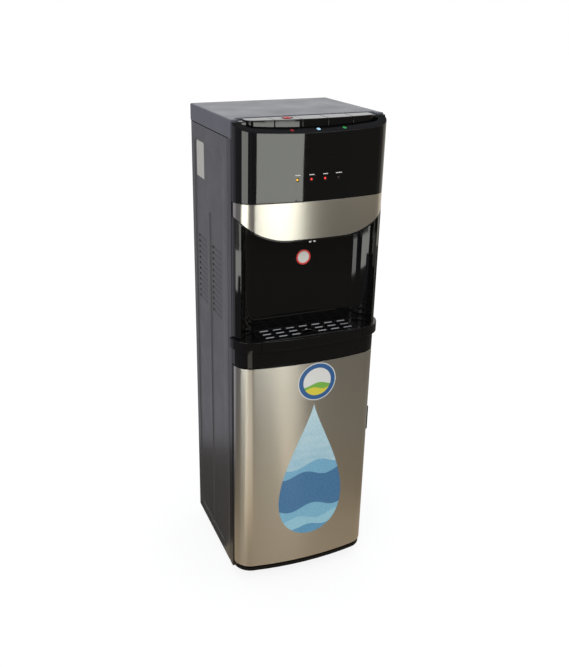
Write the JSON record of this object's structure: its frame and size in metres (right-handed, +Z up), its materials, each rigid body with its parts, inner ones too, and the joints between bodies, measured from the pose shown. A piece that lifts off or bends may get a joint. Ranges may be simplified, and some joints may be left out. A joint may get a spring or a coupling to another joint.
{
  "type": "bottom load water cooler",
  "caption": "Free-standing water cooler that takes its bottle behind a bulging steel lower door, with a gloss black front, top keys, dispensing alcove and drip tray.",
  "frame": {"origin": "on the floor, under the middle of the overall footprint", "axes": "+Z up, the door and keys face -Y, +X to the right seen from the front"},
  "size_m": [0.3232, 0.3456, 1.008],
  "materials": {
    "grey_paint": "semi-matt grey powder coat on sheet steel",
    "top_grey": "semi-matt grey moulded cover",
    "black_gloss": "high-gloss black moulding",
    "black_plastic": "satin black moulding",
    "brushed_steel": "vertically brushed stainless steel",
    "plain_steel": "plain galvanised or stainless steel",
    "black_paint": "black paint on steel",
    "copper": "copper refrigerant pipe",
    "foam": "white expanded foam",
    "board_green": "green circuit board",
    "white_plastic": "white moulded plastic",
    "red_plastic": "red moulded plastic",
    "amber_lens": "amber indicator lens",
    "red_lens": "red indicator lens",
    "dark_lens": "dark indicator lens, unlit",
    "rubber_black": "black rubber",
    "clear_hose": "milky silicone hose",
    "pump_black": "black moulded pump body"
  },
  "bodies": {
    "cabinet": {"base_pan": "black_plastic", "foot_front_left": "rubber_black", "foot_front_right": "rubber_black", "foot_rear_left": "rubber_black", "foot_rear_right": "rubber_black", "left_side_panel": "grey_paint", "right_side_panel": "grey_paint", "rear_panel": "grey_paint", "top_cover": "top_grey", "pillar_left": "grey_paint", "pillar_right": "grey_paint", "upper_front_panel": "black_gloss", "steel_band": "brushed_steel", "alcove_liner": "black_gloss", "tray_collar": "black_gloss", "indicator_1": "amber_lens", "indicator_2": "red_lens", "indicator_3": "red_lens", "indicator_4": "dark_lens", "indicator_board": "board_green", "key_switch_board": "board_green", "spout_nozzle": "black_plastic", "valve_hot": "white_plastic", "valve_cold": "white_plastic", "valve_room": "white_plastic", "mid_shelf": "plain_steel", "bay_liner": "black_plastic", "water_pump": "pump_black", "compressor": "black_paint", "hot_tank": "plain_steel", "heating_band": "plain_steel", "tank_shelf": "plain_steel", "cold_tank": "plain_steel", "evaporator_coil": "copper", "foam_front": "foam", "foam_rear": "foam", "control_board": "board_green", "discharge_line": "copper", "suction_line": "copper", "condenser": "black_paint", "filter_drier": "copper", "power_gland": "rubber_black", "drain_line": "plain_steel", "hinge_pin_upper": "plain_steel", "hinge_pin_lower": "plain_steel"},
    "door": {"door_shell": "black_plastic", "door_skin": "brushed_steel", "door_pull": "black_plastic", "door_magnet": "rubber_black"},
    "hot_key": {"key_hot": "black_gloss"},
    "lock_slider": {"child_lock_slider": "red_plastic"},
    "cold_key": {"key_cold": "black_gloss"},
    "room_key": {"key_room": "black_gloss"},
    "tray": {"drip_tray": "black_gloss"},
    "grille": {"drip_grille": "black_gloss"},
    "hot_rocker": {"rocker_hot": "red_plastic"},
    "cold_rocker": {"rocker_cold": "black_plastic"},
    "probe": {"bottle_probe": "white_plastic", "probe_hose": "clear_hose"},
    "plug": {"drain_plug": "black_plastic"}
  },
  "joints": [
    {"name": "door_swing", "type": "hinge", "parent": "cabinet", "child": "door", "pos_m": [-0.1475, -0.1258, 0.282], "axis": [0, 0, -1], "range_deg": [0, 110]},
    {"name": "hot_key_press", "type": "slide", "parent": "cabinet", "child": "hot_key", "axis": [0, 0, -1], "range_m": [0, 0.004], "stiffness_N_per_m": 600, "springref_m": -0.004},
    {"name": "cold_key_press", "type": "slide", "parent": "cabinet", "child": "cold_key", "axis": [0, 0, -1], "range_m": [0, 0.004], "stiffness_N_per_m": 600, "springref_m": -0.004},
    {"name": "room_key_press", "type": "slide", "parent": "cabinet", "child": "room_key", "axis": [0, 0, -1], "range_m": [0, 0.004], "stiffness_N_per_m": 600, "springref_m": -0.004},
    {"name": "lock_slide", "type": "slide", "parent": "hot_key", "child": "lock_slider", "axis": [1, 0, 0], "range_m": [0, 0.005], "stiffness_N_per_m": 150, "springref_m": -0.002},
    {"name": "tray_pull", "type": "slide", "parent": "cabinet", "child": "tray", "axis": [0, -1, 0], "range_m": [0, 0.06]},
    {"name": "grille_lift", "type": "slide", "parent": "tray", "child": "grille", "axis": [0, 0, 1], "range_m": [0, 0.03]},
    {"name": "hot_rocker_tip", "type": "hinge", "parent": "cabinet", "child": "hot_rocker", "pos_m": [-0.062, 0.1438, 0.958], "axis": [-1, 0, 0], "range_deg": [0, 20]},
    {"name": "cold_rocker_tip", "type": "hinge", "parent": "cabinet", "child": "cold_rocker", "pos_m": [-0.034, 0.1438, 0.958], "axis": [-1, 0, 0], "range_deg": [0, 20]},
    {"name": "probe_lift", "type": "slide", "parent": "cabinet", "child": "probe", "axis": [0, 0, 1], "range_m": [0, 0.035]},
    {"name": "drain_plug_out", "type": "slide", "parent": "cabinet", "child": "plug", "axis": [0, 1, 0], "range_m": [0, 0.012]}
  ]
}
